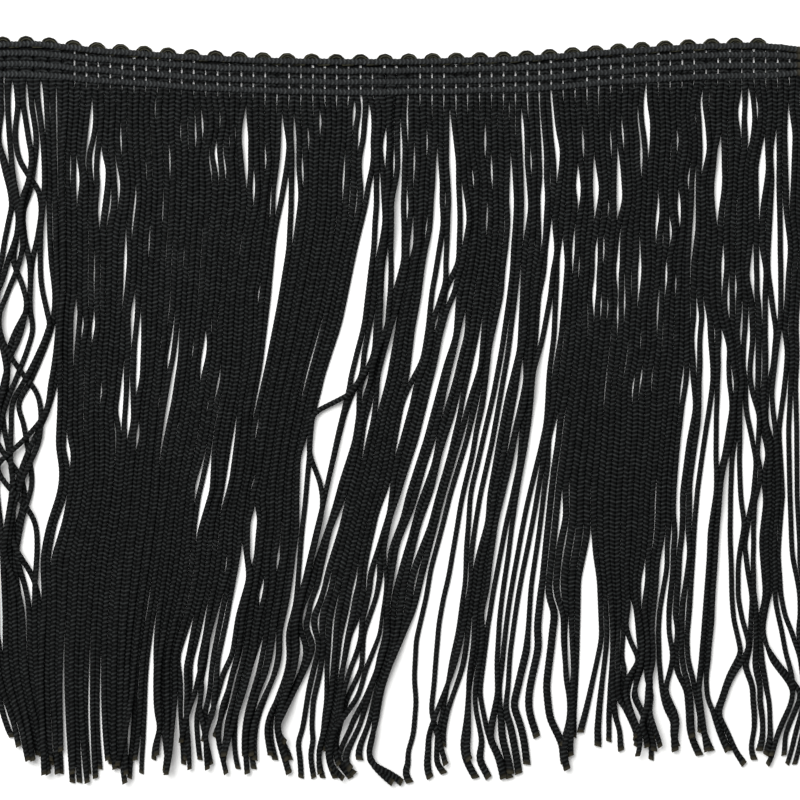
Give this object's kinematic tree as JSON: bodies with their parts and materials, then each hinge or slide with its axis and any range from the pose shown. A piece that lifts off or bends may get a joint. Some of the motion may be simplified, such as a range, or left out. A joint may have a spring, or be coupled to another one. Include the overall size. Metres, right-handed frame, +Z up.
{
  "type": "chainette fringe trim",
  "caption": "Cut length of black fringe trim: a narrow knitted heading with a scalloped picot edge, and a dense row of limp knitted strands combed down from it.",
  "frame": {"origin": "middle of the laid-out trim's bounding box, on the surface that it lies on", "axes": "+X along the heading, +Y from the fringe's cut ends towards the picot edge, +Z up from the back to the face"},
  "size_m": [0.1802, 0.1646, 0.0021],
  "materials": {
    "heading_yarn": "soft matte black yarn, warp knitted",
    "picot_cord": "soft matte black cord of several plies",
    "fringe_yarn": "black knitted chainette with a slight sheen"
  },
  "bodies": {
    "root": {"heading": "heading_yarn", "picot_edge": "picot_cord", "fringe_under": "fringe_yarn", "fringe_over": "fringe_yarn"}
  },
  "joints": []
}
